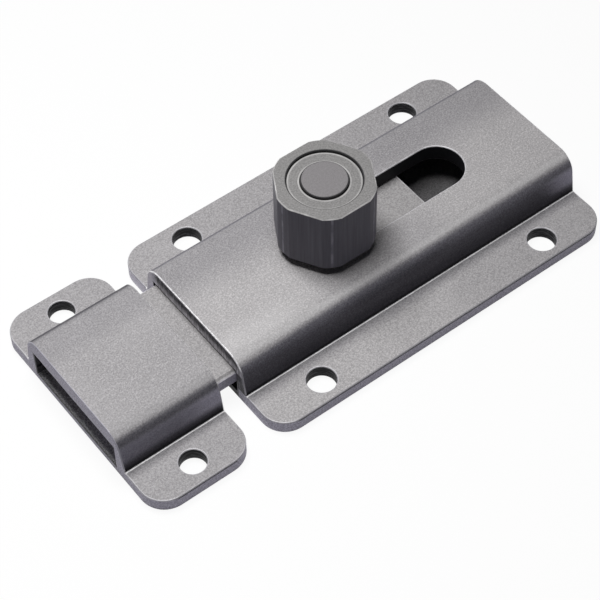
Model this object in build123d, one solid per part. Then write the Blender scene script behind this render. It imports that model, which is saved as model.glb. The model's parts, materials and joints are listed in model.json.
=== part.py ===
from build123d import *
import os
from math import radians, tan

# Sliding door bolt in millimetres, screwed to a door with its length along X and its keeper at -X.
# The origin lies on the mounting plane, at the centre of the housing's four screw holes.
# It stands locked: the knob is at the keeper's end of its slot and the bar reaches into the keeper.

# Bolt bar
bolt_width = 22.3
bolt_thickness = 3.4
bolt_travel = 24.0
bolt_entry = 15.8
tip_corner_radius = 2.5
tip_lead_in = 0.6
bar_edge_break = 0.2

# Channel round the bar
bar_side_clearance = 0.15
bar_roof_clearance = 0.15
bar_floor_gap = 1.75

# Walls of the extruded section that the housing and the keeper are both cut from
floor_thickness = 1.5
roof_thickness = 3.2
wall_foot_thickness = 2.5
wall_lean_degrees = 9.6
roof_edge_radius = 3.6
flange_width = 8.7
flange_thickness = 2.6
flange_corner_radius = 4.5
end_edge_break = 0.2

# Housing
housing_length = 70.0
housing_hole_diameter = 5.0
housing_hole_end_distance = 11.5
hole_side_distance = 4.0
hole_rim_break = 0.25
slot_rim_break = 0.25
locked_knob_distance = 26.6

# Keeper
keeper_length = 19.0
keeper_gap = 4.2
keeper_hole_diameter = 4.5

# Stud: a riveted foot in the bar, a shoulder that runs in the slot and a spigot through the knob
foot_diameter = 6.5
foot_head_diameter = 9.6
foot_head_depth = 1.4
shoulder_diameter = 9.0
spigot_diameter = 7.8
spigot_end_break = 0.25
slot_side_clearance = 0.2

# Knob, turned from hexagonal bar
knob_across_flats = 16.0
knob_turned_diameter = 17.0
knob_height = 12.2
knob_roof_gap = 1.5
knob_edge_break = 0.35
recess_diameter = 12.4
recess_depth = 0.5

# Bowed leaf spring in a pocket under the bar
spring_thickness = 0.4
spring_width = 9.0
spring_span = 16.0
spring_floor_clearance = 0.1
pocket_depth = 1.2
pocket_margin = 0.4
pocket_stud_wall = 1.6

# Section sizes that follow
channel_width = bolt_width + 2 * bar_side_clearance
channel_height = bar_floor_gap + bolt_thickness + bar_roof_clearance
channel_top = floor_thickness + channel_height
body_height = channel_top + roof_thickness
foot_half_width = channel_width / 2 + wall_foot_thickness
wall_height = body_height - flange_thickness
roof_half_width = foot_half_width - wall_height * tan(radians(wall_lean_degrees))
section_half_width = foot_half_width + flange_width
hole_y = section_half_width - hole_side_distance
slot_width = shoulder_diameter + 2 * slot_side_clearance

# Places that follow
housing_start = -housing_length / 2
housing_end = housing_length / 2
keeper_end = housing_start - keeper_gap
keeper_start = keeper_end - keeper_length
knob_x = housing_start + locked_knob_distance
bar_tip = keeper_end - bolt_entry
bar_rear = housing_end - bolt_travel
bar_bottom = floor_thickness + bar_floor_gap
bar_top = bar_bottom + bolt_thickness
knob_bottom = body_height + knob_roof_gap
knob_top = knob_bottom + knob_height
pocket_length = spring_span + 2 * pocket_margin
pocket_width = spring_width + 2 * pocket_margin
pocket_x = knob_x - foot_head_diameter / 2 - pocket_stud_wall - pocket_length / 2
pocket_roof = bar_bottom + pocket_depth

ON_FLOOR = (Align.CENTER, Align.CENTER, Align.MIN)


def extruded_section():
    """Two flanges, leaning walls and a roof round a closed channel, drawn as it is seen along X."""
    with BuildSketch(Plane.YZ) as section:
        with BuildLine():
            Polyline(
                (-section_half_width, 0),
                (section_half_width, 0),
                (section_half_width, flange_thickness),
                (foot_half_width, flange_thickness),
                (roof_half_width, body_height),
                (-roof_half_width, body_height),
                (-foot_half_width, flange_thickness),
                (-section_half_width, flange_thickness),
                close=True,
            )
        make_face()
        fillet(section.vertices().group_by(Axis.Y)[-1], roof_edge_radius)
        with Locations((0, floor_thickness)):
            Rectangle(
                channel_width, channel_height, align=(Align.CENTER, Align.MIN), mode=Mode.SUBTRACT
            )
    return section.sketch


def cut_length(start, length):
    """A sawn length of the section: flange corners rounded, upper edges of the two cut ends broken."""
    blank = Pos(start, 0, 0) * extrude(extruded_section(), amount=length)
    upright_edges = blank.edges().filter_by(Axis.Z).group_by(Axis.Y)
    blank = fillet(upright_edges[0] + upright_edges[-1], flange_corner_radius)
    end_faces = blank.faces().filter_by(Axis.X)
    upper_edges = ShapeList()
    for end_face in end_faces:
        outline = end_face.outer_wire().edges()
        upper_edges += outline.filter_by(lambda edge: edge.center().Z > flange_thickness + end_edge_break)
    return chamfer(upper_edges, end_edge_break)


def drill_flanges(piece, places, diameter):
    """Plain screw holes down through the flanges, their upper rims broken."""
    for place in places:
        piece -= Pos(*place) * Cylinder(diameter / 2, flange_thickness, align=ON_FLOOR)
    circles = piece.edges().filter_by(GeomType.CIRCLE).filter_by(Plane.XY)
    rims = circles.group_by(Axis.Z)[-1].filter_by(lambda edge: edge.is_closed)
    return chamfer(rims, hole_rim_break)


def make_housing():
    hole_x = housing_length / 2 - housing_hole_end_distance
    places = [(x, y) for x in (-hole_x, hole_x) for y in (-hole_y, hole_y)]
    housing = drill_flanges(cut_length(housing_start, housing_length), places, housing_hole_diameter)
    slot = extrude(SlotCenterToCenter(bolt_travel, slot_width), amount=roof_thickness)
    housing -= Pos(knob_x + bolt_travel / 2, 0, channel_top) * slot
    slot_rim = housing.faces().sort_by(Axis.Z)[-1].inner_wires()[0].edges()
    return chamfer(slot_rim, slot_rim_break)


def make_keeper():
    middle = (keeper_start + keeper_end) / 2
    places = [(middle, y) for y in (-hole_y, hole_y)]
    return drill_flanges(cut_length(keeper_start, keeper_length), places, keeper_hole_diameter)


def make_bolt():
    """Flat bar: rounded and tapered tip, square rear end, riveting hole and a pocket underneath."""
    bar = Pos(bar_tip, 0, bar_bottom) * Box(
        bar_rear - bar_tip, bolt_width, bolt_thickness, align=(Align.MIN, Align.CENTER, Align.MIN)
    )
    bar = fillet(bar.edges().filter_by(Axis.Z).group_by(Axis.X)[0], tip_corner_radius)
    tip_face = bar.faces().filter_by(Axis.X).sort_by(Axis.X)[0]
    bar = chamfer(tip_face.edges().filter_by(Axis.Y), tip_lead_in)
    rear_face = bar.faces().filter_by(Axis.X).sort_by(Axis.X)[-1]
    bar = chamfer(rear_face.edges(), bar_edge_break)
    bar -= Pos(pocket_x, 0, bar_bottom) * Box(pocket_length, pocket_width, pocket_depth, align=ON_FLOOR)
    return bar - stud_foot()


def stud_foot():
    """The stud's end inside the bar: a shank whose riveted head fills a cone flush with the underside."""
    shank = Cylinder(foot_diameter / 2, bolt_thickness, align=ON_FLOOR)
    head = Cone(foot_head_diameter / 2, foot_diameter / 2, foot_head_depth, align=ON_FLOOR)
    return Pos(knob_x, 0, bar_bottom) * (shank + head)


def make_knob_stud():
    shoulder = Cylinder(shoulder_diameter / 2, knob_bottom - bar_top, align=ON_FLOOR)
    spigot = Cylinder(spigot_diameter / 2, knob_height, align=ON_FLOOR)
    spigot = chamfer(spigot.edges().group_by(Axis.Z)[-1], spigot_end_break)
    return stud_foot() + Pos(knob_x, 0, bar_top) * shoulder + Pos(knob_x, 0, knob_bottom) * spigot


def make_knob():
    """Hexagon with its corners turned round and both rims broken, recessed on top round the spigot."""
    outline = RegularPolygon(knob_across_flats / 2, 6, major_radius=False) & Circle(knob_turned_diameter / 2)
    knob = extrude(outline, amount=knob_height)
    end_faces = knob.faces().filter_by(Axis.Z)
    knob = chamfer([edge for end_face in end_faces for edge in end_face.edges()], knob_edge_break)
    recess = Cylinder(recess_diameter / 2, recess_depth, align=ON_FLOOR)
    bore = Cylinder(spigot_diameter / 2, knob_height, align=ON_FLOOR)
    return Pos(knob_x, 0, knob_bottom) * (knob - Pos(0, 0, knob_height - recess_depth) * recess - bore)


def make_friction_spring():
    """Bowed strip: both ends bear on the pocket's roof and the crown bears down on the floor."""
    end_underside = pocket_roof - spring_thickness
    crown_underside = floor_thickness + spring_floor_clearance
    half_span = spring_span / 2
    with BuildSketch(Plane.XZ) as strip:
        with BuildLine():
            ThreePointArc(
                (-half_span, end_underside), (0, crown_underside), (half_span, end_underside)
            )
            Line((half_span, end_underside), (half_span, pocket_roof))
            ThreePointArc(
                (half_span, pocket_roof),
                (0, crown_underside + spring_thickness),
                (-half_span, pocket_roof),
            )
            Line((-half_span, pocket_roof), (-half_span, end_underside))
        make_face()
    return Pos(pocket_x, 0, 0) * extrude(strip.sketch, amount=spring_width / 2, both=True)


pieces = {
    "housing": make_housing(),
    "keeper": make_keeper(),
    "bolt": make_bolt(),
    "knob_stud": make_knob_stud(),
    "knob": make_knob(),
    "friction_spring": make_friction_spring(),
}
os.makedirs("parts", exist_ok=True)
for name, piece in pieces.items():
    export_step(piece, f"parts/{name}.step")
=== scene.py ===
import json
from math import acos, cos, pi, radians, sin, tan

import bmesh
import bpy
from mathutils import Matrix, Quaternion, Vector


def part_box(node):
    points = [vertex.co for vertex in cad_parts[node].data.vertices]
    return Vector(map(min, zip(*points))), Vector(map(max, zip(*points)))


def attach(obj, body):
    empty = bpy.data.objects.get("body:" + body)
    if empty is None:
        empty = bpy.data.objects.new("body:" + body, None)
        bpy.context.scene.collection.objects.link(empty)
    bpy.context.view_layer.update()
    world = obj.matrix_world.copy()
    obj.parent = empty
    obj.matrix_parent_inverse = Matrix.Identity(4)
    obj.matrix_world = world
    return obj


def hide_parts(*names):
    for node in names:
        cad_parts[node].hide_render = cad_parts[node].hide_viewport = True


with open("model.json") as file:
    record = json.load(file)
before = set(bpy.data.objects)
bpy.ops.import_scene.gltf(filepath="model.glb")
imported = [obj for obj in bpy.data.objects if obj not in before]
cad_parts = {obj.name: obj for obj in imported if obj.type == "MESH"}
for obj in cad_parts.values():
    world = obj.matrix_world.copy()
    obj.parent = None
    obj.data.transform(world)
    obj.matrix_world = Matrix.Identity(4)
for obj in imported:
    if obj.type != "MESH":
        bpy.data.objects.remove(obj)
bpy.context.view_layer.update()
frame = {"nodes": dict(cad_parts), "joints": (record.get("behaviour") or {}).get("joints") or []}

# HOUSING AND KEEPER
# Both are sawn from one extruded aluminium section: two flanges, two walls that lean inward and a
# roof with rounded edges round a closed channel. They are drilled and slotted, then bead-blasted
# and anodised a gunmetal grey all over.

MM = 0.001
housing_low, housing_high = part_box("housing")
keeper_low, keeper_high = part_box("keeper")
bar_low, bar_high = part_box("bolt")
stud_low, stud_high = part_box("knob_stud")

section_width = housing_high.y - housing_low.y
section_height = housing_high.z
flange_thickness = 2.6 * MM
wall_lean = radians(9.6)
bar_side_clearance = 0.15 * MM
bar_roof_clearance = 0.15 * MM
wall_foot_thickness = 2.5 * MM
floor_thickness = 1.5 * MM
channel_width = bar_high.y - bar_low.y + 2 * bar_side_clearance
channel_top = bar_high.z + bar_roof_clearance
foot_half_width = channel_width / 2 + wall_foot_thickness
roof_half_width = foot_half_width - (section_height - flange_thickness) * tan(wall_lean)
roof_edge_radius = 3.6 * MM
flange_corner_radius = 4.5 * MM
hole_side_distance = 4.0 * MM
hole_end_distance = 11.5 * MM
housing_hole_radius = 2.5 * MM
keeper_hole_radius = 2.25 * MM
bolt_travel = frame["joints"][0]["range_m"][1]
slot_half_width = 4.7 * MM
knob_x = (stud_low.x + stud_high.x) / 2
edge_break = 0.2 * MM
edge_break_angle = radians(28)
edge_break_steps = 2
arc_steps = 14
hole_sides = 72
merging_distance = 0.5e-6
welding_distance = 5e-6
flatness_angle = radians(0.2)

grain_size = 0.27 * MM
glint_size = 0.24 * MM
cloud_size = 11 * MM
foot_patch_size = 1.2 * MM
edge_rubbing_size = 1.6 * MM
edge_mottle_size = 0.5 * MM
saw_mark_size = 0.3 * MM
end_streak_size = 0.32 * MM
drill_mark_size = 0.35 * MM

# A colour with a grain is a pair, dark and pale.
blasted_greys = (0.335, 0.324, 0.328, 1), (0.575, 0.558, 0.562, 1)
shade_greys = (0.11, 0.105, 0.12, 1), (0.20, 0.195, 0.22, 1)
low_wall_shade_greys = (0.03, 0.028, 0.036, 1), (0.07, 0.067, 0.08, 1)
channel_shade_greys = (0.06, 0.058, 0.06, 1), (0.12, 0.117, 0.12, 1)
keeper_bend_shade_greys = (0.05, 0.048, 0.055, 1), (0.09, 0.088, 0.095, 1)
wall_sheen_lilacs = (0.52, 0.50, 0.60, 1), (0.78, 0.76, 0.87, 1)
mouth_floor_light_greys = (0.45, 0.44, 0.46, 1), (1, 0.99, 1, 1)
sawn_lilacs = (0.50, 0.485, 0.54, 1), (0.90, 0.88, 0.95, 1)
end_shade_greys = (0.05, 0.048, 0.055, 1), (0.17, 0.165, 0.18, 1)
end_pale_greys = (0.40, 0.39, 0.41, 1), (0.92, 0.90, 0.93, 1)
hole_shade_greys = (0.008, 0.008, 0.010, 1), (0.12, 0.118, 0.125, 1)
edge_wear_and_highlight_greys = (0.34, 0.335, 0.35, 1), (0.80, 0.79, 0.82, 1)
keeper_end_rim_greys = (0.28, 0.275, 0.28, 1), (0.56, 0.55, 0.56, 1)
roof_edge_highlight_grey = (0.80, 0.79, 0.79, 1)
back_edge_shade_grey = (0.03, 0.028, 0.035, 1)
foot_highlight_grey = (0.95, 0.94, 0.96, 1)
foot_shade_black = (0.006, 0.006, 0.008, 1)
back_corner_light_lilac = (0.98, 0.96, 1, 1)
under_rim_shade_grey = (0.03, 0.03, 0.035, 1)
slot_shade_grey = (0.010, 0.010, 0.012, 1)
flange_edge_shade_grey = (0.025, 0.025, 0.03, 1)
end_rim_shade_grey = (0.30, 0.29, 0.33, 1)
edge_highlight_white = (1, 0.99, 1, 1)
plain_end_grey = (0.34, 0.33, 0.38, 1)
flange_rim_grey = (0.42, 0.41, 0.43, 1)
channel_edge_shade_grey = (0.02, 0.02, 0.025, 1)


class Tree:
    """A node tree under construction: one method adds any node, with its settings and its inputs."""

    def __init__(self, tree):
        self.tree = tree

    def node(self, kind, settings=None, **inputs):
        made = self.tree.nodes.new(kind)
        for name, value in (settings or {}).items():
            setattr(made, name, value)
        for name, value in inputs.items():
            self.feed(self.find(made.inputs, name), value)
        return made

    def find(self, sockets, name):
        """An input by its number, its name or its identifier, with _ for a space."""
        wanted = name.replace("_", " ").strip().lower()
        if wanted.isdigit():
            return sockets[int(wanted)]
        matches = [s for s in sockets if s.enabled and wanted in (s.name.lower(), s.identifier.lower())]
        return (matches or [s for s in sockets if wanted == s.identifier.lower().replace("_", " ")])[0]

    def feed(self, socket, value):
        if isinstance(value, list):
            for single in value:
                self.feed(socket, single)
        elif isinstance(value, Amount):
            self.tree.links.new(value.socket, socket)
        elif isinstance(value, bpy.types.NodeSocket):
            self.tree.links.new(value, socket)
        else:
            socket.default_value = value

    def amount(self, kind, settings=None, **inputs):
        return Amount(self, self.node(kind, settings, **inputs).outputs[0])


class Amount:
    """A number that varies over a surface. Arithmetic on it adds the Math nodes."""

    def __init__(self, tree, socket):
        self.tree = tree
        self.socket = socket

    def math(self, operation, *values, clamp=False):
        made = self.tree.node("ShaderNodeMath", {"operation": operation, "use_clamp": clamp})
        for socket, value in zip(made.inputs, values):
            self.tree.feed(socket, value)
        return Amount(self.tree, made.outputs[0])

    def __add__(self, other):
        return self.math("ADD", self, other)

    def __radd__(self, other):
        return self.math("ADD", other, self)

    def __sub__(self, other):
        return self.math("SUBTRACT", self, other)

    def __rsub__(self, other):
        return self.math("SUBTRACT", other, self)

    def __mul__(self, other):
        return self.math("MULTIPLY", self, other)

    def __rmul__(self, other):
        return self.math("MULTIPLY", other, self)

    def __truediv__(self, other):
        return self.math("DIVIDE", self, other)

    def size(self):
        return self.math("ABSOLUTE", self)

    def larger(self, other):
        return self.math("MAXIMUM", self, other)

    def clamped(self):
        return self.math("ADD", self, 0.0, clamp=True)

    def band(self, start, end):
        """0 at start and before it, 1 at end and past it, and smooth between. Either may be the larger."""
        smooth = {"interpolation_type": "SMOOTHSTEP"}
        return self.tree.amount("ShaderNodeMapRange", smooth, Value=self, From_Min=start, From_Max=end)


def new_material(name):
    """An empty node material, its Principled shader and the place on the piece in metres."""
    material = bpy.data.materials.new(name)
    material.use_nodes = True
    tree = Tree(material.node_tree)
    shader = material.node_tree.nodes["Principled BSDF"]
    place = tree.node("ShaderNodeTexCoord").outputs["Object"]
    return material, tree, shader, place


def stretched(tree, place, scale):
    return tree.node("ShaderNodeMapping", Vector=place, Scale=scale).outputs[0]


def noise(tree, place, feature, detail=2.0, roughness=0.55):
    """Noise about 0, from -0.5 to 0.5, whose blobs are about one feature across."""
    fine = tree.amount(
        "ShaderNodeTexNoise", Vector=place, Scale=1 / feature, Detail=detail, Roughness=roughness
    )
    return fine - 0.5


def mixed(tree, share, colour, second):
    """The first colour where the share is 0 and the second where it is 1."""
    made = tree.node(
        "ShaderNodeMix", {"data_type": "RGBA"}, Factor_Float=share, A_Color=colour, B_Color=second
    )
    colour_output = 2
    return made.outputs[colour_output]


def coated(tree, tone, colour, share, greys):
    """The colour, and over a share of it a second one whose grain runs from dark to pale with the tone."""
    return mixed(tree, share, colour, mixed(tree, tone, *greys))


def coordinates(tree, place):
    split = tree.node("ShaderNodeSeparateXYZ", Vector=place)
    return [Amount(tree, socket) for socket in split.outputs]


def below_roof(z, start, end):
    """0 at start and 1 at end, both in millimetres down from the roof."""
    return z.band(section_height - start * MM, section_height - end * MM)


def above_flange(z, start, end):
    """0 at start and 1 at end, both in millimetres up from the flanges' upper side."""
    return z.band(flange_thickness + start * MM, flange_thickness + end * MM)


def near(along, middle, start, end):
    """0 at start and 1 at end, both as distances from the middle to either side."""
    return (along - middle).size().band(start, end)


def sawn_face(x, end):
    return near(x, end, 0.09 * MM, 0.05 * MM)


def sawn_rim(x, end):
    return near(x, end, 0.5 * MM, 0.3 * MM)


def in_channel(place):
    x, y, z = place
    under_roof = z.band(channel_top + 0.05 * MM, channel_top - 0.05 * MM)
    return under_roof * y.size().band(channel_width / 2 + 0.1 * MM, channel_width / 2)


# Where painted shade lies along the roof's back edge.
def back_roof_edge_shade(place):
    x, y, z = place
    return below_roof(z, 0.1, 0.9) * y.band(0, 2 * MM) * above_flange(z, 0, 0.15)


def blasted_aluminium(name, greys):
    """Bead-blasted, anodised aluminium: a fine matt grain with brighter specks of painted highlight, and
    faint clouding.
    """
    material, tree, shader, place = new_material(name)
    grain = noise(tree, place, grain_size, 2.0, 0.7)
    # Painted highlight: brighter specks added to the grain's tone.
    painted_glints = noise(tree, place, glint_size, 0.0).band(0.12, 0.20)
    cloud = noise(tree, place, cloud_size, 2.0)
    tone = (0.45 + grain * 2.7 + painted_glints * 0.8 + cloud * 0.4).clamped()
    colour = mixed(tree, tone, *greys)
    tree.feed(shader.inputs["Base Color"], colour)
    tree.feed(shader.inputs["Roughness"], (0.55 + grain * 0.3).clamped())
    shader.inputs["Metallic"].default_value = 0.0
    shader.inputs["Specular IOR Level"].default_value = 0.12
    bump = tree.node("ShaderNodeBump", Strength=0.5, Distance=0.02 * MM, Height=grain)
    tree.feed(shader.inputs["Normal"], bump.outputs[0])
    return material, tree, shader, place, tone, colour


def roof_and_flange_tones(tree, place, tone, colour):
    """A painted highlight along the roof's front edge. Painted shade on the walls just below the roof's
    edges, along the roof's back edge, in the channel, over the back of the roof and on the front flange
    beside the wall, and a painted shadow on the roof beside the knob. The keeper is a little darker all
    over."""
    x, y, z = place
    front = y.band(0, -1 * MM)
    on_housing = x.band(keeper_high.x, housing_low.x)
    raised = above_flange(z, 0, 0.15)
    # Painted highlight along the roof's front edge where it rounds over. It is stronger on the housing and
    # at the housing's end towards the keeper.
    crest_highlight = y.band(-4.5 * MM, -8.5 * MM) * below_roof(z, 0.7, 0.3)
    crest_highlight = crest_highlight * x.band(-15 * MM, -26 * MM) * on_housing
    bend_highlight = below_roof(z, 0.05, 0.35) * below_roof(z, 1.0, 0.5) * front
    bend_highlight = bend_highlight * (on_housing * 0.18 + 0.12)
    colour = mixed(tree, (crest_highlight * 0.2).larger(bend_highlight), colour, roof_edge_highlight_grey)

    # Painted shade on the walls just below the roof's edges. It reaches a little lower towards the keeper.
    lower_towards_keeper = x.band(-14 * MM, -32 * MM) * on_housing * (0.3 * MM)
    painted_shade_and_keeper_tone = below_roof(z + lower_towards_keeper, 0.45, 1.4) * raised
    # Painted shade along the roof's back edge, towards the back and over the back of the roof.
    back_edge_shade = back_roof_edge_shade(place)
    back_shade = y.band(1 * MM, 12 * MM) * 0.2
    back_roof_shade = y.band(-1 * MM, 8 * MM) * z.band(6 * MM, 8 * MM) * 0.42
    # Painted shadow on the roof in front of the knob's locked place.
    knob_shadow = near(x, knob_x + 5 * MM, 17 * MM, 7 * MM) * y.band(-4 * MM, -7 * MM)
    knob_shadow = knob_shadow * below_roof(z, 0.6, 0.1) * 0.24
    # The keeper a little darker all over.
    keeper_darker = x.band(keeper_high.x + 1 * MM, keeper_high.x) * 0.24
    # Painted shade on the front flange beside the wall, and towards the housing's far end.
    front_flange_shade = (y.size() - foot_half_width).band(3.4 * MM, 0.3 * MM) * 0.5
    front_flange_shade = front_flange_shade.larger(x.band(-8 * MM, 12 * MM) * 0.17) * front * above_flange(z, 0.1, 0)
    # Painted shade inside the channel. All these darkenings, the keeper's included, merge into one.
    channel = in_channel(place)
    for darkened_place in (back_edge_shade, channel, back_shade, back_roof_shade, knob_shadow, keeper_darker, front_flange_shade):
        painted_shade_and_keeper_tone = painted_shade_and_keeper_tone.larger(darkened_place)
    return coated(tree, tone, colour, painted_shade_and_keeper_tone, shade_greys)


def wall_tones(tree, place, tone, colour):
    """Painted shade low on the walls, along the keeper's back roof edge, in the channel and on the keeper's
    front bend. A painted lilac sheen lies on both front walls, and painted light on the channel's floor at
    the keeper's far end."""
    x, y, z = place
    front = y.band(0, -1 * MM)
    on_keeper = x.band(housing_low.x, keeper_high.x)
    raised = above_flange(z, 0, 0.15)
    # Painted shade: darkest low on the walls and on the wall's middle around the knob, a little lighter at
    # the housing's end towards the keeper.
    low = z.band(section_height - 1.5 * MM, flange_thickness + 0.9 * MM)
    middle = near(x, -4 * MM, 16 * MM, 6 * MM) * below_roof(z, 1.2, 2.2)
    towards_keeper = x.band(-20 * MM, -34 * MM) * x.band(keeper_high.x, housing_low.x)
    low = low.larger(middle * 0.6) * raised * (1 - towards_keeper * 0.3)
    colour = coated(tree, tone, colour, low, low_wall_shade_greys)
    # Painted shade: a dark line along the keeper's back roof edge.
    colour = mixed(tree, back_roof_edge_shade(place) * on_keeper * 0.8, colour, back_edge_shade_grey)
    channel = in_channel(place)
    # Painted shade inside the channel.
    colour = coated(tree, tone, colour, channel, channel_shade_greys)

    # Painted shade on the keeper's front edge where the roof rounds down into the wall.
    keeper_bend_shade = below_roof(z, 0.5, 1.4) * below_roof(z, 2.8, 1.6) * front * on_keeper
    colour = coated(tree, tone, colour, keeper_bend_shade * 0.5, keeper_bend_shade_greys)
    # Painted sheen: lilac reflections on the housing's front wall near its far end and along the keeper's
    # front wall.
    slanted = x + (z - section_height) * 0.5
    wall_sheen = slanted.band(housing_high.x - 10 * MM, housing_high.x - 1.5 * MM)
    wall_sheen = wall_sheen.larger(on_keeper * (x.band(keeper_high.x - 9 * MM, keeper_high.x) * 0.5 + 0.35))
    wall_sheen = wall_sheen * above_flange(z, 0.9, 2.8) * below_roof(z, 1.7, 2.9) * front
    colour = coated(tree, tone, colour, wall_sheen, wall_sheen_lilacs)
    # Painted light on the channel's floor near the keeper's open end.
    mouth_light = channel * x.band(keeper_low.x + 14 * MM, keeper_low.x + 7 * MM)
    mouth_light = mouth_light * z.band(floor_thickness + 0.3 * MM, floor_thickness)
    return coated(tree, tone, colour, mouth_light, mouth_floor_light_greys)


def wall_foot(tree, place, spot, colour):
    """A painted highlight in the corner at the walls' foot, patchy along its length, with painted shade
    above it.
    """
    x, y, z = place
    beside = y.size() - foot_half_width
    patchy = (noise(tree, spot, foot_patch_size, 2.0) * 1.8 + 0.75).clamped()
    # Painted highlight: a pale line on the flange along the walls' foot.
    line = beside.band(0.24 * MM, 0.19 * MM) * beside.band(0.04 * MM, 0.08 * MM)
    line = line * above_flange(z, 0.12, 0.04)
    colour = mixed(tree, line * patchy, colour, foot_highlight_grey)
    # Painted shade on the walls just above their foot.
    foot_shade = above_flange(z, 1.0, 0.45) * above_flange(z, 0.12, 0.18)
    return mixed(tree, foot_shade, colour, foot_shade_black)


def sawn_and_outer_faces(tree, place, spot, colour):
    """Lilac-grey outer sides and sawn ends, with painted light round the housing's back corner and painted
    shade under the flanges' top edge. The housing's end towards the keeper carries streaky painted shade,
    paler low down over the channel.
    """
    x, y, z = place
    out = y.size()
    outer = above_flange(z, -0.02, -0.06)
    outer = outer * out.band(channel_width / 2 + 0.3 * MM, channel_width / 2 + 0.5 * MM)
    saw_marks = (noise(tree, spot, saw_mark_size, 2.0) * 3.0 + 0.5).clamped()
    lilac = mixed(tree, saw_marks, *sawn_lilacs)
    # Painted light on the back flange's outer side round the housing's corner at the keeper's end.
    back_corner_light = near(x, housing_low.x, flange_corner_radius, 3 * MM)
    back_corner_light = back_corner_light * y.band(channel_width / 2, channel_width / 2 + 0.5 * MM)
    lilac = mixed(tree, back_corner_light, lilac, back_corner_light_lilac)
    colour = mixed(tree, outer, colour, lilac)
    long_side = out.band(section_width / 2 - 0.08 * MM, section_width / 2 - 0.02 * MM)
    far_corner = outer * x.band(housing_high.x - flange_corner_radius, housing_high.x - 3.5 * MM)
    # Painted shade: a dark line on the flanges' outer sides just below their top edge, streaked by the saw
    # marks.
    under_rim_shade = long_side.larger(far_corner) * above_flange(z, -0.60, -0.35)
    under_rim_shade = under_rim_shade * (0.6 + saw_marks * 0.5).clamped()
    colour = mixed(tree, under_rim_shade, colour, under_rim_shade_grey)
    for end in (keeper_low.x, keeper_high.x, housing_high.x):
        colour = mixed(tree, sawn_face(x, end), colour, lilac)

    # Painted shade on the housing's end towards the keeper, in upright streaks, turning pale low down over
    # the channel.
    upright = stretched(tree, spot, (1, 1, 0.2))
    streaks = (noise(tree, upright, end_streak_size, 3.0, 0.7) * 3.2 + 0.4).clamped()
    end_shade = mixed(tree, streaks, *end_shade_greys)
    mottled = mixed(tree, streaks, *end_pale_greys)
    lower_edge = z.band(section_height - 1.0 * MM, channel_top + 0.6 * MM)
    lower_edge = lower_edge * z.band(channel_top - 0.5 * MM, channel_top)
    sawn = mixed(tree, (lower_edge + (streaks - 0.4) * 0.25).clamped(), end_shade, mottled)
    sawn = mixed(tree, y.band(channel_width / 2 - 1.5 * MM, channel_width / 2), sawn, lilac)
    return mixed(tree, sawn_face(x, housing_low.x) * above_flange(z, 0, 0.3), colour, sawn)


def bored_walls(tree, place, spot, colour):
    """Painted shade: the slot's wall nearly black, and the holes' walls dark, with the drill's marks round
    them.
    """
    x, y, z = place

    def bored(from_x, from_y, radius):
        away = x.math("SQRT", from_x * from_x + from_y * from_y)
        return away.band(radius + 0.1 * MM, radius + 0.04 * MM)

    from_row = y.size() - (section_width / 2 - hole_side_distance)
    hole_x = (housing_high.x - housing_low.x) / 2 - hole_end_distance
    keeper_middle = (keeper_low.x + keeper_high.x) / 2
    slot_middle = knob_x + bolt_travel / 2
    past_slot_centres = ((x - slot_middle).size() - bolt_travel / 2).larger(0.0)
    # Painted shade on the slot's wall.
    slot = bored(past_slot_centres, y, slot_half_width) * z.band(channel_top, channel_top + 0.02 * MM)
    colour = mixed(tree, slot, colour, slot_shade_grey)
    # Painted shade on the holes' walls, varied by the drill's marks.
    holes = bored(x.size() - hole_x, from_row, housing_hole_radius)
    holes = holes.larger(bored(x - keeper_middle, from_row, keeper_hole_radius))
    turned = stretched(tree, spot, (0.15, 0.15, 1))
    drill_marks = (noise(tree, turned, drill_mark_size, 2.0) * 4 + 0.2).clamped()
    return coated(tree, drill_marks, colour, holes, hole_shade_greys)


def extrusion_surface():
    """The blasted finish with its worn, burnished, sawn and bored places."""
    material, tree, shader, spot, tone, colour = blasted_aluminium("blasted_extrusion", blasted_greys)
    place = coordinates(tree, spot)
    colour = roof_and_flange_tones(tree, place, tone, colour)
    colour = wall_tones(tree, place, tone, colour)
    colour = wall_foot(tree, place, spot, colour)
    colour = sawn_and_outer_faces(tree, place, spot, colour)
    colour = bored_walls(tree, place, spot, colour)
    tree.feed(shader.inputs["Base Color"], colour)
    return material


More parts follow.
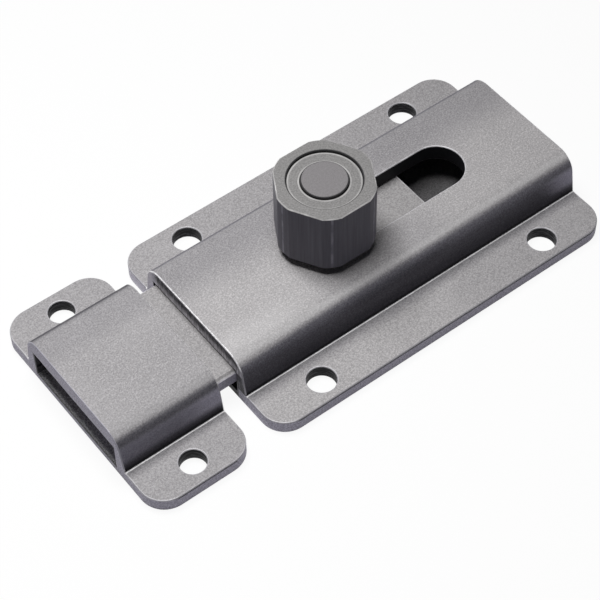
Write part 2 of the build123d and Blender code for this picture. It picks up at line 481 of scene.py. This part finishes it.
def worn_and_highlit_edges():
    """Where an edge is broken the anodising is thinnest: a pale line, partly wear and partly painted
    highlight, patchy along it. Painted shade darkens the flanges' outer edges, the edges inside the channel,
    the walls' foot and the lower rim of the housing's end towards the keeper; a painted highlight runs along
    the walls' foot and along that end's upper rim."""
    material, tree, shader, spot = new_material("worn_and_highlit_extrusion_edges")
    x, y, z = coordinates(tree, spot)
    out = y.size()
    patchy = noise(tree, spot, edge_rubbing_size, 3.0, 0.6)
    mottled = (noise(tree, spot, edge_mottle_size, 1.0) * 3 + 0.5).clamped()
    tone = (0.55 + patchy * 2.2).clamped()
    # Pale edge colour: partly wear and partly painted highlight.
    colour = mixed(tree, tone, *edge_wear_and_highlight_greys)

    # Painted shade along the flanges' outer edges and round the housing's far corners.
    far_corner = x.band(housing_high.x - flange_corner_radius, housing_high.x - 3.5 * MM)
    far_corner = far_corner * out.band(foot_half_width + 3 * MM, foot_half_width + 3.5 * MM)
    flange_edge_shading = out.band(section_width / 2 - 0.30 * MM, section_width / 2 - 0.18 * MM)
    flange_edge_shading = flange_edge_shading.larger(far_corner) * (0.9 + patchy).clamped()
    colour = mixed(tree, flange_edge_shading, colour, flange_edge_shade_grey)
    # A dimmer, mottled edge at the keeper's end towards the housing.
    colour = coated(tree, mottled, colour, sawn_rim(x, keeper_high.x), keeper_end_rim_greys)
    # Painted shade on the lower rim of the housing's end towards the keeper, and a patchy painted highlight
    # on its upper rim.
    housing_end = sawn_rim(x, housing_low.x)
    colour = mixed(tree, housing_end * below_roof(z, 1.4, 2.4) * 0.7, colour, end_rim_shade_grey)
    end_rim_highlight = housing_end * below_roof(z, 2.4, 1.4) * (mottled * 0.85 + 0.05)
    colour = mixed(tree, end_rim_highlight, colour, edge_highlight_white)
    plain_end = sawn_rim(x, keeper_low.x) * above_flange(z, 0.5, 1.0)
    colour = mixed(tree, plain_end, colour, plain_end_grey)
    flange_rim = above_flange(z, 0.1, 0) * out.band(foot_half_width + 2 * MM, foot_half_width + 3 * MM)
    colour = mixed(tree, flange_rim * 0.7, colour, flange_rim_grey)
    # Painted shade on the edges inside the channel under the roof.
    inner = out.band(channel_width / 2 + 0.3 * MM, channel_width / 2) * below_roof(z, 0.8, 1.2)
    colour = mixed(tree, inner * 0.9, colour, channel_edge_shade_grey)
    # Painted shade on the edges at the walls' foot.
    foot = near(out, foot_half_width, 0.35 * MM, 0.25 * MM) * above_flange(z, 0.3, 0.2)
    colour = mixed(tree, foot, colour, foot_shade_black)
    # Painted highlight on the lowest edge at the walls' foot.
    foot_edge_highlight = foot * above_flange(z, 0.12, 0.08) * (0.9 + patchy).clamped()
    colour = mixed(tree, foot_edge_highlight, colour, edge_highlight_white)
    tree.feed(shader.inputs["Base Color"], colour)
    tree.feed(shader.inputs["Roughness"], (0.4 + patchy * 0.3).clamped())
    shader.inputs["Metallic"].default_value = 0.1
    return material


extrusion_grey = extrusion_surface()
extrusion_edge = worn_and_highlit_edges()


def section_outline(name):
    """The section's outer line as a closed curve; each point's radius is the fillet at that corner."""
    half = section_width / 2
    corners = [
        (-half, 0, 0), (half, 0, 0), (half, flange_thickness, 0), (foot_half_width, flange_thickness, 0),
        (roof_half_width, section_height, roof_edge_radius),
        (-roof_half_width, section_height, roof_edge_radius),
        (-foot_half_width, flange_thickness, 0), (-half, flange_thickness, 0),
    ]
    curve = bpy.data.curves.new(name, "CURVE")
    curve.dimensions = "3D"
    spline = curve.splines.new("POLY")
    spline.points.add(len(corners) - 1)
    for point, (across, up, radius) in zip(spline.points, reversed(corners)):
        point.co = (across, -up, 0, 1)
        point.radius = radius
    spline.use_cyclic_u = True
    outline = bpy.data.objects.new(name, curve)
    bpy.context.scene.collection.objects.link(outline)
    return outline


def sawing_tree():
    """Geometry nodes that draw the section out to a length, round the flanges, drill and slot it."""
    group = bpy.data.node_groups.new("sawn_section", "GeometryNodeTree")
    sizes = (
        "Start", "Length", "Corner Radius", "Channel Floor", "Channel Width", "Channel Height",
        "Hole Spacing Along", "Hole Spacing Across", "Hole Radius",
        "Slot Start", "Slot Length", "Slot Width",
    )
    group.interface.new_socket("Geometry", in_out="INPUT", socket_type="NodeSocketGeometry")
    for size in sizes:
        group.interface.new_socket(size, in_out="INPUT", socket_type="NodeSocketFloat")
    group.interface.new_socket("Metal", in_out="INPUT", socket_type="NodeSocketMaterial")
    group.interface.new_socket("Geometry", in_out="OUTPUT", socket_type="NodeSocketGeometry")
    tree = Tree(group)
    given = tree.node("NodeGroupInput").outputs
    size = {name: Amount(tree, given[name]) for name in sizes}
    middle = size["Start"] + size["Length"] / 2
    well_above = 2 * section_height
    well_below = -section_height

    def first(kind, settings=None, **inputs):
        return tree.node(kind, settings, **inputs).outputs[0]

    def vector(x=0.0, y=0.0, z=0.0):
        return first("ShaderNodeCombineXYZ", X=x, Y=y, Z=z)

    def moved(solid, x=0.0, z=0.0):
        return first("GeometryNodeTransform", Geometry=solid, Translation=vector(x, 0.0, z))

    def drawn_out(profile, start, end):
        spine = first("GeometryNodeCurvePrimitiveLine", Start=start, End=end)
        solid = first("GeometryNodeCurveToMesh", Curve=spine, Profile_Curve=profile, Fill_Caps=True)
        return first("GeometryNodeMergeByDistance", Geometry=solid, Distance=merging_distance)

    def filleted(curve, radius):
        polygon = {"mode": "POLY"}
        return first("GeometryNodeFilletCurve", polygon, Curve=curve, Radius=radius, Count=arc_steps)

    def rounded_plan(length, width, radius, centre, low, high):
        """A rectangle with round corners, seen from above, drawn upwards into a solid."""
        plan = first("GeometryNodeCurvePrimitiveQuadrilateral", Width=length, Height=width)
        return moved(drawn_out(filleted(plan, radius), vector(z=low), vector(z=high)), centre)

    def combined(operation, **solids):
        return first("GeometryNodeMeshBoolean", {"operation": operation, "solver": "EXACT"}, **solids)

    outline = filleted(given["Geometry"], first("GeometryNodeInputRadius"))
    end = size["Start"] + size["Length"]
    bar = drawn_out(outline, vector(x=size["Start"]), vector(x=end))
    plan = rounded_plan(size["Length"], section_width, size["Corner Radius"], middle, well_below, well_above)
    blank = combined("INTERSECT", Mesh_2=[bar, plan])

    channel_overrun = 1.5
    channel = first(
        "GeometryNodeMeshCube",
        Size=vector(size["Length"] * channel_overrun, size["Channel Width"], size["Channel Height"]),
    )
    channel = moved(channel, middle, size["Channel Floor"] + size["Channel Height"] / 2)
    places = first(
        "GeometryNodeMeshGrid", Size_X=size["Hole Spacing Along"], Size_Y=size["Hole Spacing Across"],
        Vertices_X=2, Vertices_Y=2,
    )
    places = moved(first("GeometryNodeMergeByDistance", Geometry=places, Distance=merging_distance), middle)
    drill = first(
        "GeometryNodeMeshCylinder", {"fill_type": "NGON"},
        Vertices=hole_sides, Radius=size["Hole Radius"], Depth=4 * flange_thickness,
    )
    holes = first("GeometryNodeInstanceOnPoints", Points=places, Instance=drill)
    holes = first("GeometryNodeRealizeInstances", Geometry=holes)
    into_channel = 0.5 * MM
    slot = rounded_plan(
        size["Slot Length"], size["Slot Width"], size["Slot Width"] / 2,
        size["Slot Start"] + size["Slot Length"] / 2, channel_top - into_channel, well_above,
    )
    drilled = combined("DIFFERENCE", Mesh_1=blank, Mesh_2=[channel, holes])
    slotted = combined("DIFFERENCE", Mesh_1=drilled, Mesh_2=slot)
    has_slot = first("FunctionNodeCompare", {"operation": "GREATER_THAN"}, A=size["Slot Length"], B=0.0)
    chosen = first(
        "GeometryNodeSwitch", {"input_type": "GEOMETRY"}, Switch=has_slot, False_=drilled, True_=slotted
    )
    real = first("GeometryNodeRealizeInstances", Geometry=chosen)
    finish = first("GeometryNodeSetMaterial", Geometry=real, Material=given["Metal"])
    tree.node("NodeGroupOutput", Geometry=finish)
    return group


def plain_mesh(piece):
    """The piece's mesh as its modifiers leave it."""
    bpy.context.view_layer.update()
    graph = bpy.context.evaluated_depsgraph_get()
    return bpy.data.meshes.new_from_object(
        piece.evaluated_get(graph), preserve_all_data_layers=True, depsgraph=graph
    )


def sawn_length(name, group, values, metal):
    """One sawn, drilled and slotted length as a plain mesh, its edges broken by the blasting."""
    outline = section_outline(name)
    nodes = outline.modifiers.new("sawing", "NODES")
    nodes.node_group = group
    for socket in group.interface.items_tree:
        if socket.in_out == "INPUT" and socket.name in values:
            nodes[socket.identifier] = float(values[socket.name])
        if socket.in_out == "INPUT" and socket.name == "Metal":
            nodes[socket.identifier] = metal
    mesh = plain_mesh(outline)
    bpy.data.objects.remove(outline)
    piece = bpy.data.objects.new(name, mesh)
    bpy.context.scene.collection.objects.link(piece)
    mesh.materials.append(extrusion_edge)
    return finished(piece)


def finished(piece):
    """Breaks the sharp edges, smooths the round faces and leaves a plain mesh."""
    merging = bmesh.new()
    merging.from_mesh(piece.data)
    bmesh.ops.remove_doubles(merging, verts=merging.verts, dist=welding_distance)
    bmesh.ops.dissolve_limit(merging, angle_limit=flatness_angle, verts=merging.verts, edges=merging.edges)
    bmesh.ops.recalc_face_normals(merging, faces=merging.faces)
    merging.to_mesh(piece.data)
    merging.free()
    for face in piece.data.polygons:
        face.use_smooth = True
    bevel = piece.modifiers.new("edge_break", "BEVEL")
    bevel.width = edge_break
    bevel.segments = edge_break_steps
    bevel.limit_method = "ANGLE"
    bevel.angle_limit = edge_break_angle
    bevel.use_clamp_overlap = False
    bevel.loop_slide = False
    bevel.material = len(piece.data.materials) - 1
    weighted = piece.modifiers.new("weighted_normals", "WEIGHTED_NORMAL")
    weighted.keep_sharp = False
    weighted.weight = 100
    mesh = plain_mesh(piece)
    piece.modifiers.clear()
    piece.data = mesh
    return piece


section_values = {
    "Corner Radius": flange_corner_radius,
    "Channel Floor": floor_thickness,
    "Channel Width": channel_width,
    "Channel Height": channel_top - floor_thickness,
    "Hole Spacing Across": section_width - 2 * hole_side_distance,
}
housing_values = {
    **section_values,
    "Start": housing_low.x,
    "Length": housing_high.x - housing_low.x,
    "Hole Spacing Along": housing_high.x - housing_low.x - 2 * hole_end_distance,
    "Hole Radius": housing_hole_radius,
    "Slot Start": knob_x - slot_half_width,
    "Slot Length": bolt_travel + 2 * slot_half_width,
    "Slot Width": 2 * slot_half_width,
}
keeper_values = {
    **section_values,
    "Start": keeper_low.x,
    "Length": keeper_high.x - keeper_low.x,
    "Hole Spacing Along": 0.0,
    "Hole Radius": keeper_hole_radius,
    "Slot Start": 0.0,
    "Slot Length": 0.0,
    "Slot Width": 0.0,
}
sawing = sawing_tree()
for piece_name, node, values in (
    ("housing_extrusion", "housing", housing_values),
    ("keeper_extrusion", "keeper", keeper_values),
):
    sawn = sawn_length(piece_name, sawing, values, extrusion_grey)
    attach(sawn, "fixed_parts")
    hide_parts(node)


# BAR
# A flat aluminium bar with a square sawn rear end. It has the housing's blasted finish and slides
# in the channel close under the roof.

bar_greys = (0.275, 0.266, 0.268, 1), (0.465, 0.452, 0.454, 1)
bar_side_lilacs = (0.46, 0.45, 0.51, 1), (0.72, 0.70, 0.78, 1)
bar_edge_wear_and_highlight_grey = (0.80, 0.79, 0.81, 1)
bar_rubbing_size = 1.5 * MM


def bar_surface():
    """The blasted finish, lilac-grey on the drawn sides and pale along the upper edges, partly wear and
    partly painted highlight.
    """
    material, tree, shader, spot, tone, colour = blasted_aluminium("blasted_bar", bar_greys)
    x, y, z = coordinates(tree, spot)
    from_side = bar_high.y - y.size()
    from_rear = bar_high.x - x
    patchy = (noise(tree, spot, bar_rubbing_size, 2.0) * 1.8 + 0.6).clamped()
    # Pale upper edges and rear edge: partly wear and partly painted highlight.
    edge = from_side.band(0.34 * MM, 0.22 * MM).larger(from_rear.band(0.34 * MM, 0.22 * MM))
    colour = mixed(tree, edge * patchy, colour, bar_edge_wear_and_highlight_grey)
    side = from_side.band(0.06 * MM, 0.03 * MM) * z.band(bar_high.z - 0.05 * MM, bar_high.z - 0.25 * MM)
    colour = coated(tree, tone, colour, side, bar_side_lilacs)
    tree.feed(shader.inputs["Base Color"], colour)
    return material


def refinish(node, material):
    """Gives a CAD mesh that stays as it is its own material."""
    materials = frame["nodes"][node].data.materials
    materials.clear()
    materials.append(material)


refinish("bolt", bar_surface())


# FRICTION SPRING
# A bowed strip of rolled spring steel in a pocket under the bar. It is hidden there, rides with the
# bar and holds it up against the roof.

strip_greys = (0.30, 0.30, 0.31, 1), (0.50, 0.50, 0.52, 1)
rolling_stretch = (120, 3500, 3500)


def rolled_steel():
    """Plain bright strip with fine rolling lines along its length."""
    material, tree, shader, spot = new_material("rolled_spring_steel")
    rolling_lines = stretched(tree, spot, rolling_stretch)
    lines = tree.amount("ShaderNodeTexNoise", Vector=rolling_lines, Scale=1.0, Detail=2.0) - 0.5
    tone = (0.5 + lines * 1.4).clamped()
    tree.feed(shader.inputs["Base Color"], mixed(tree, tone, *strip_greys))
    tree.feed(shader.inputs["Roughness"], (0.34 + lines * 0.2).clamped())
    shader.inputs["Metallic"].default_value = 0.9
    return material


refinish("friction_spring", rolled_steel())


# STUD
# One turned aluminium piece: a foot riveted into the bar, a shoulder that runs in the slot and a
# spigot that ends level with the knob's rim. Its end is faced off smooth.

shoulder_radius = 4.5 * MM
spigot_radius = 3.9 * MM
spigot_end_break = 0.25 * MM
spigot_end_shoulder = spigot_end_break * 0.3
foot_radius = 3.25 * MM
foot_head_radius = 4.8 * MM
foot_head_depth = 1.4 * MM
round_sides = 96
stud_sharp_angle = radians(15)
faced_greys = (0.205, 0.195, 0.20, 1), (0.25, 0.24, 0.245, 1)
joint_shade_black = (0.02, 0.02, 0.022, 1)


def circle_ring(radius):
    turns = [2 * pi * side / round_sides for side in range(round_sides)]
    return [(radius * cos(turn), radius * sin(turn)) for turn in turns]


def lofted(name, rings, closed=False):
    """A solid through rings of as many points each, given as (outline, height) from bottom to top."""
    mesh = bmesh.new()
    layers = [[mesh.verts.new((x + knob_x, y, z)) for x, y in outline] for outline, z in rings]
    pairs = list(zip(layers, layers[1:]))
    if closed:
        pairs.append((layers[-1], layers[0]))
    for lower, upper in pairs:
        for i in range(len(lower)):
            j = (i + 1) % len(lower)
            mesh.faces.new((lower[i], lower[j], upper[j], upper[i]))
    if not closed:
        mesh.faces.new(list(reversed(layers[0])))
        mesh.faces.new(layers[-1])
    bmesh.ops.recalc_face_normals(mesh, faces=mesh.faces)
    data = bpy.data.meshes.new(name)
    mesh.to_mesh(data)
    mesh.free()
    piece = bpy.data.objects.new(name, data)
    bpy.context.scene.collection.objects.link(piece)
    return piece


def smoothed(piece, sharp):
    """Smooth faces with crisp edges where two faces meet at more than the sharp angle."""
    for face in piece.data.polygons:
        face.use_smooth = True
    piece.data.set_sharp_from_angle(angle=sharp)
    return piece


def turned_metal(name, greys, ring_width, ring_depth, feature, roughness):
    """Turned, satin aluminium: faint concentric tool marks round the knob's axis and a fine grain."""
    material, tree, shader, spot = new_material(name)
    subtract = {"operation": "SUBTRACT"}
    centred = tree.node("ShaderNodeVectorMath", subtract, **{"0": spot, "1": (knob_x, 0, 0)})
    x, y, z = coordinates(tree, centred.outputs[0])
    reach = x.math("SQRT", x * x + y * y)
    ripple = reach.math("SINE", reach * (2 * pi / ring_width))
    grain = noise(tree, spot, feature, 1.0, 0.5)
    tone = (0.5 + grain * 1.9 + ripple * ring_depth).clamped()
    colour = mixed(tree, tone, *greys)
    tree.feed(shader.inputs["Base Color"], colour)
    tree.feed(shader.inputs["Roughness"], (roughness + grain * 0.25).clamped())
    shader.inputs["Metallic"].default_value = 0.0
    shader.inputs["Specular IOR Level"].default_value = 0.2
    bump = tree.node("ShaderNodeBump", Strength=0.25, Distance=0.01 * MM, Height=grain + ripple * 0.2)
    tree.feed(shader.inputs["Normal"], bump.outputs[0])
    return material, tree, shader, spot, (x, y, z), reach, colour


stud_rings = [
    (circle_ring(foot_head_radius), stud_low.z),
    (circle_ring(foot_radius), stud_low.z + foot_head_depth),
    (circle_ring(foot_radius), bar_high.z),
    (circle_ring(shoulder_radius), bar_high.z),
    (circle_ring(shoulder_radius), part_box("knob")[0].z),
    (circle_ring(spigot_radius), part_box("knob")[0].z),
    (circle_ring(spigot_radius), stud_high.z - spigot_end_break),
    (circle_ring(spigot_radius - spigot_end_shoulder), stud_high.z - spigot_end_shoulder),
    (circle_ring(spigot_radius - spigot_end_break), stud_high.z),
]
stud = smoothed(lofted("turned_stud", stud_rings), stud_sharp_angle)


def stud_surface():
    """The smooth faced end, with painted shade where the end's broken edge meets the knob."""
    material, tree, shader, *_, reach, colour = turned_metal(
        "faced_stud", faced_greys, ring_width=0.3 * MM, ring_depth=0.15, feature=0.3 * MM, roughness=0.42
    )
    # Painted shade round the stud's end where it meets the knob.
    rim = reach.band(spigot_radius - 0.24 * MM, spigot_radius - 0.14 * MM)
    tree.feed(shader.inputs["Base Color"], mixed(tree, rim * 0.9, colour, joint_shade_black))
    return material


stud.data.materials.append(stud_surface())
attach(stud, "sliding_bolt")
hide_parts("knob_stud")


# KNOB
# Turned from 16 mm hexagonal aluminium bar: the six corners are turned round, both rims are
# broken, and a shallow round recess surrounds the end of the stud.

knob_low, knob_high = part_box("knob")
knob_half_flats = (knob_high.y - knob_low.y) / 2
knob_turned_radius = (knob_high.x - knob_low.x) / 2
knob_rim_break = 0.2 * MM
recess_radius = 6.2 * MM
recess_rim_break = 0.08 * MM
recess_depth = 0.5 * MM
recess_floor = knob_high.z - recess_depth
groove_width = 0.12 * MM
groove_depth = 0.35 * MM
groove_floor = recess_floor - groove_depth
corner_steps = 6
flat_steps = round_sides // 6 - corner_steps
knob_sharp_angle = radians(14)
knob_greys = (0.185, 0.18, 0.18, 1), (0.30, 0.295, 0.29, 1)
knob_side_shade_greys = (0.075, 0.072, 0.088, 1), (0.145, 0.14, 0.165, 1)
knob_corner_highlight_grey = (0.44, 0.43, 0.49, 1)
knob_rim_highlight_grey = (0.70, 0.69, 0.68, 1)
groove_highlight_grey = (0.62, 0.61, 0.60, 1)
knob_patch_size = 2.2 * MM
drawing_stretch = (2600, 2600, 90)


def turned_hexagon(inset):
    """The knob's outline drawn in by the inset: six flats joined by arcs where the corners are turned."""
    radius = knob_turned_radius - inset
    half_flats = knob_half_flats - inset
    corner_half = pi / 6 - acos(half_flats / radius)
    points = []
    for corner in range(6):
        middle = corner * pi / 3
        for step in range(corner_steps):
            angle = middle - corner_half + 2 * corner_half * step / corner_steps
            points.append((radius * cos(angle), radius * sin(angle)))
        first = middle + corner_half
        last = middle + pi / 3 - corner_half
        for step in range(flat_steps):
            share = step / flat_steps
            points.append((
                radius * (cos(first) * (1 - share) + cos(last) * share),
                radius * (sin(first) * (1 - share) + sin(last) * share),
            ))
    return points


knob_rings = [
    (circle_ring(spigot_radius), knob_low.z),
    (turned_hexagon(knob_rim_break), knob_low.z),
    (turned_hexagon(0.0), knob_low.z + knob_rim_break),
    (turned_hexagon(0.0), knob_high.z - knob_rim_break),
    (turned_hexagon(knob_rim_break), knob_high.z),
    (circle_ring(recess_radius + recess_rim_break), knob_high.z),
    (circle_ring(recess_radius), knob_high.z - recess_rim_break),
    (circle_ring(recess_radius), groove_floor),
    (circle_ring(recess_radius - groove_width), groove_floor),
    (circle_ring(recess_radius - groove_width), recess_floor),
    (circle_ring(spigot_radius + groove_width), recess_floor),
    (circle_ring(spigot_radius + groove_width), groove_floor),
    (circle_ring(spigot_radius), groove_floor),
]
knob = smoothed(lofted("hexagonal_knob", knob_rings, closed=True), knob_sharp_angle)


def knob_surface():
    """The turned metal, with drawing lines and painted shade on the sides, a painted highlight on the turned
    corners, on the rim and beside the grooves, and painted shade in the grooves.
    """
    material, tree, shader, spot, centred, reach, colour = turned_metal(
        "blasted_knob", knob_greys, ring_width=0.5 * MM, ring_depth=0.06, feature=0.26 * MM, roughness=0.5
    )
    x, y, z = centred
    drawing_lines = stretched(tree, spot, drawing_stretch)
    drawn = tree.amount("ShaderNodeTexNoise", Vector=drawing_lines, Scale=1.0, Detail=3.0) - 0.5
    drawn = (0.5 + drawn * 1.2).clamped()
    side = reach.band(knob_half_flats - 0.35 * MM, knob_half_flats - 0.15 * MM)
    side = side * z.band(knob_high.z - 0.18 * MM, knob_high.z - 0.24 * MM)
    # Painted shade on the knob's sides, with drawing lines up them.
    colour = coated(tree, drawn, colour, side, knob_side_shade_greys)
    # Painted highlight: a pale line up each turned corner, patchy along its height.
    corner_angle = pi / 3
    turn = y.math("ARCTAN2", y, x) / corner_angle
    off_corner = (turn - turn.math("ROUND", turn)).size() * corner_angle
    patchy = noise(tree, spot, knob_patch_size, 2.0)
    corner_highlight = off_corner.band(0.035, 0.01) * side * (0.35 + patchy * 1.6).clamped()
    colour = mixed(tree, corner_highlight, colour, knob_corner_highlight_grey)
    # Painted highlight on the top rim's broken edge, patchy round it.
    rim = z.band(knob_high.z - 0.26 * MM, knob_high.z - 0.20 * MM)
    rim = rim * z.band(knob_high.z - 0.01 * MM, knob_high.z - 0.03 * MM)
    rim = rim * reach.band(knob_half_flats - 0.5 * MM, knob_half_flats - 0.4 * MM)
    colour = mixed(tree, rim * (0.6 + patchy * 1.8).clamped(), colour, knob_rim_highlight_grey)
    for groove_radius, to_floor in ((recess_radius, -0.3 * MM), (spigot_radius, 0.3 * MM)):
        # Painted highlight: a pale line on the recess floor beside each groove.
        line = near(reach, groove_radius + to_floor, 0.16 * MM, 0.08 * MM) * (0.5 + patchy * 1.2).clamped()
        line = line * z.band(recess_floor + 0.1 * MM, recess_floor + 0.02 * MM)
        colour = mixed(tree, line, colour, groove_highlight_grey)
        # Painted shade in the grooves.
        groove = near(reach, groove_radius, 0.17 * MM, 0.12 * MM)
        colour = mixed(tree, groove * 0.9, colour, joint_shade_black)
    tree.feed(shader.inputs["Base Color"], colour)
    return material


knob.data.materials.append(knob_surface())
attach(knob, "sliding_bolt")
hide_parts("knob")


# STUDIO
# A plain pale floor under the mounting face, one large soft lamp above and behind the bolt and the
# camera at the photograph's viewing angle.

white = (1, 1, 1, 1)
floor_size = 4.0
floor_drop = 0.03 * MM
floor_shadow_share = 0.08
dim_bounce = (0.50, 0.49, 0.54, 1)
ambient_colour = (0.90, 0.88, 1.0, 1)
ambient_level = 0.03


def seen_directly(tree):
    """1 for what the camera sees, directly or in a gloss or through glass, and 0 for other light."""
    path = tree.node("ShaderNodeLightPath").outputs
    total = Amount(tree, path["Is Camera Ray"]) + Amount(tree, path["Is Glossy Ray"])
    return (total + Amount(tree, path["Is Transmission Ray"])).clamped()


def blended(tree, share, shader, second):
    """The first shader where the share is 0 and the second where it is 1."""
    shaders = {"1": shader.outputs[0], "2": second.outputs[0]}
    return tree.node("ShaderNodeMixShader", **{"0": share}, **shaders).outputs[0]


def pale_floor():
    """White as seen, with part of the lamp's shadow, and dimmer as a source of light on the bolt."""
    material = bpy.data.materials.new("pale_floor")
    material.use_nodes = True
    tree = Tree(material.node_tree)
    material.node_tree.nodes.remove(material.node_tree.nodes["Principled BSDF"])
    direct = seen_directly(tree)
    matt = tree.node("ShaderNodeBsdfDiffuse", Color=mixed(tree, direct, dim_bounce, white))
    plain = tree.node("ShaderNodeEmission", Color=white, Strength=1.0)
    surface = material.node_tree.nodes["Material Output"].inputs["Surface"]
    tree.feed(surface, blended(tree, direct * (1 - floor_shadow_share), matt, plain))
    return material


bpy.ops.mesh.primitive_plane_add(size=floor_size, location=(0, 0, -floor_drop))
floor = bpy.context.object
floor.name = "studio_floor"
floor.data.materials.append(pale_floor())

world = bpy.data.worlds.new("studio")
bpy.context.scene.world = world
world.use_nodes = True
world_tree = Tree(world.node_tree)
ambient = world_tree.node("ShaderNodeBackground", Color=ambient_colour, Strength=ambient_level)
backdrop = world_tree.node("ShaderNodeBackground", Color=white, Strength=1.0)
world_tree.feed(
    world.node_tree.nodes["World Output"].inputs["Surface"],
    blended(world_tree, seen_directly(world_tree), ambient, backdrop),
)


def soft_lamp(name, place, aim, width, height, level):
    """A softbox; at level 1 a level surface at the origin renders in about its own colour."""
    place = Vector(place)
    beam = (Vector(aim) - place).normalized()
    light = bpy.data.lights.new(name, "AREA")
    light.shape = "RECTANGLE"
    light.size = width
    light.size_y = height
    slant = -beam.dot(place.normalized()) * place.normalized().z
    light.energy = level * pi ** 2 * place.length_squared / slant
    lamp = bpy.data.objects.new(name, light)
    lamp.location = place
    lamp.rotation_euler = beam.to_track_quat("-Z", "Y").to_euler()
    bpy.context.scene.collection.objects.link(lamp)


soft_lamp(
    "key_softbox", place=(-0.040, 0.046, 0.255), aim=(-0.19, 0.0, 0.0), width=0.14, height=0.11, level=0.85
)

camera_place = Vector((-0.131101, -0.157955, 0.250001))
camera_target = Vector((-0.011547, -0.000576, -0.003447))
camera_roll = radians(-0.685)
camera_data = bpy.data.cameras.new("photo_camera")
camera_data.sensor_width = 36.0
camera_data.lens = 114.34
camera_data.shift_x = -0.0206
camera_data.shift_y = -0.0061
camera_data.clip_start = 0.01
camera = bpy.data.objects.new("photo_camera", camera_data)
camera.location = camera_place
facing = (camera_target - camera_place).to_track_quat("-Z", "Y")
camera.rotation_mode = "QUATERNION"
camera.rotation_quaternion = facing @ Quaternion((0, 0, 1), camera_roll)
bpy.context.scene.collection.objects.link(camera)
bpy.context.scene.camera = camera
bpy.context.scene.view_settings.view_transform = "Standard"
